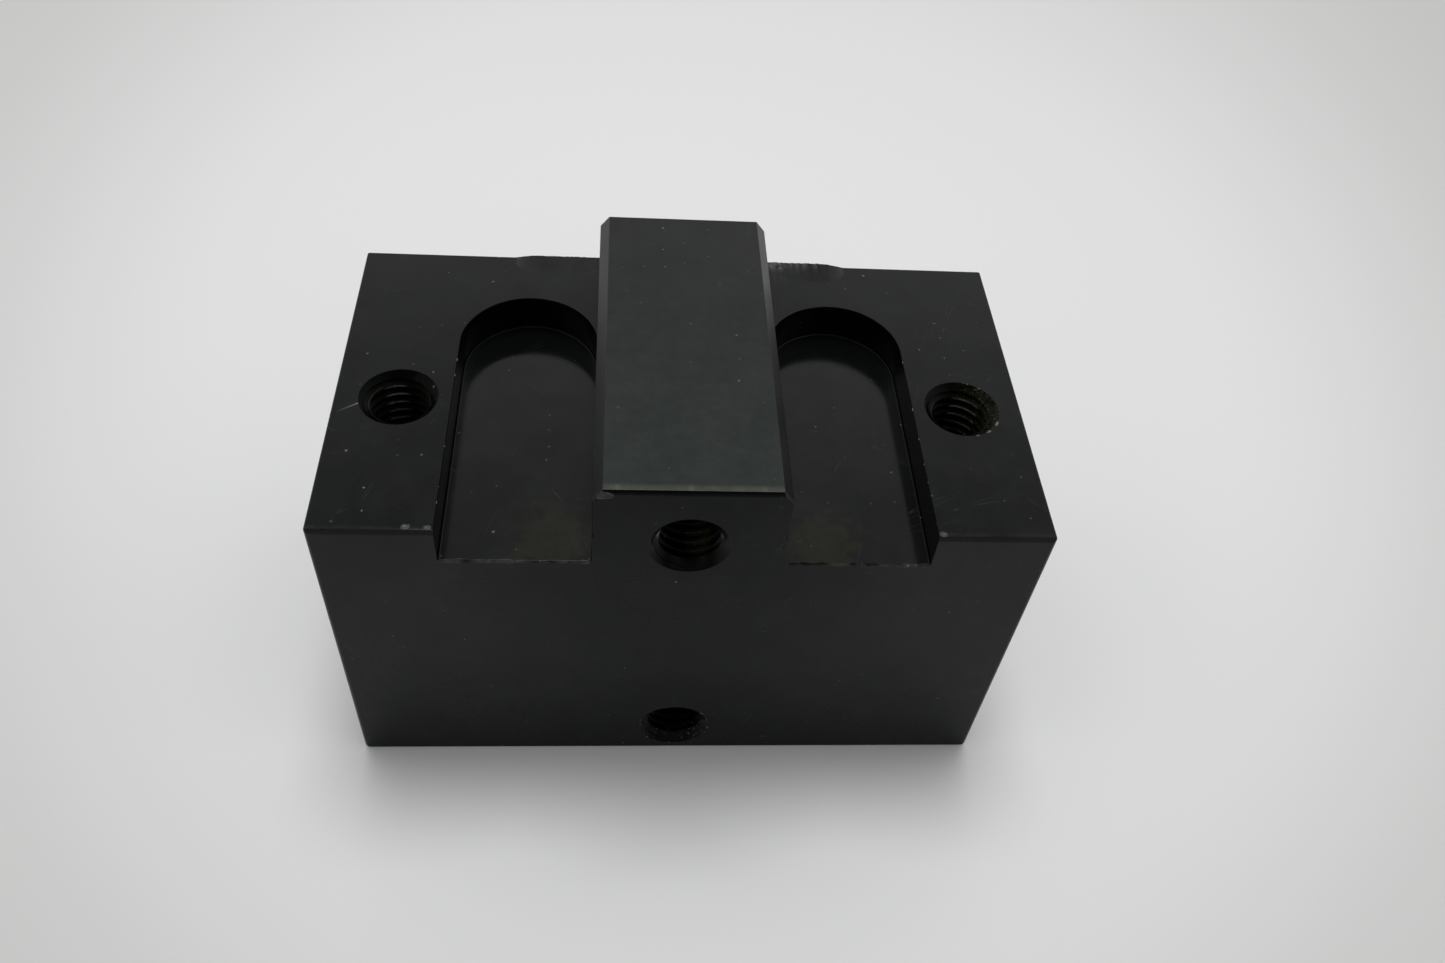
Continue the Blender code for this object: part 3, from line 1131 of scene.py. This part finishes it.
def key_light():
    """One weak round lamp, high up and a little behind the block."""
    light = bpy.data.lights.new("key", "AREA")
    light.shape = "DISK"
    light.size = KEY_SIZE * MM
    light.energy = KEY_POWER
    key = bpy.data.objects.new("key", light)
    elevation = math.radians(KEY_ELEVATION)
    direction = Vector((0.0, math.cos(elevation), math.sin(elevation)))
    key.location = direction * KEY_DISTANCE * MM
    key.rotation_euler = direction.to_track_quat("Z", "Y").to_euler()
    bpy.context.scene.collection.objects.link(key)


def at_angles(function, *degrees):
    """The values of a trigonometric function at angles in degrees."""
    return [function(math.radians(angle)) for angle in degrees]


def soft_room():
    """A pale tent: brightest halfway up, darker overhead, near the horizon, and behind the camera."""
    world = bpy.data.worlds.new("soft_room")
    bpy.context.scene.world = world
    graph = Graph(world)
    direction = graph.node("ShaderNodeTexCoord").outputs["Generated"]
    height = graph.parts(direction)["Z"]
    upper = graph.remap(height, *at_angles(math.sin, 36.0, 56.0), 0.87, 0.40, smooth=True)
    lower = graph.remap(height, *at_angles(math.sin, 6.0, 28.0), 0.4, 1.0, smooth=True)
    to_camera = graph.dot(direction, CAMERA_PLACE.normalized())
    shadow = graph.remap(to_camera, *at_angles(math.cos, 42.0, 20.0), 1.0, 0.2, smooth=True)
    strength = graph.times(upper, lower, shadow)
    seen = graph.node("ShaderNodeLightPath").outputs["Is Camera Ray"]
    inputs = {"Factor": seen, "A": strength, "B": BACKDROP_STRENGTH}
    strength = graph.node("ShaderNodeMix", inputs).outputs["Result"]
    background = graph.node("ShaderNodeBackground", {"Color": ROOM_COLOUR, "Strength": strength})
    graph.node("ShaderNodeOutputWorld", {"Surface": background.outputs[0]})


def photo_camera():
    """A camera at the photograph's angle."""
    camera = bpy.data.objects.new("camera", bpy.data.cameras.new("camera"))
    camera.data.lens = CAMERA_LENS
    camera.data.sensor_width = CAMERA_SENSOR
    camera.data.clip_start = CAMERA_NEAREST * MM
    camera.location = CAMERA_PLACE * MM
    camera.rotation_euler = camera_turn().to_euler()
    bpy.context.scene.collection.objects.link(camera)
    bpy.context.scene.camera = camera


build_block()
pale_floor()
key_light()
soft_room()
photo_camera()
bpy.context.scene.view_settings.view_transform = "Standard"
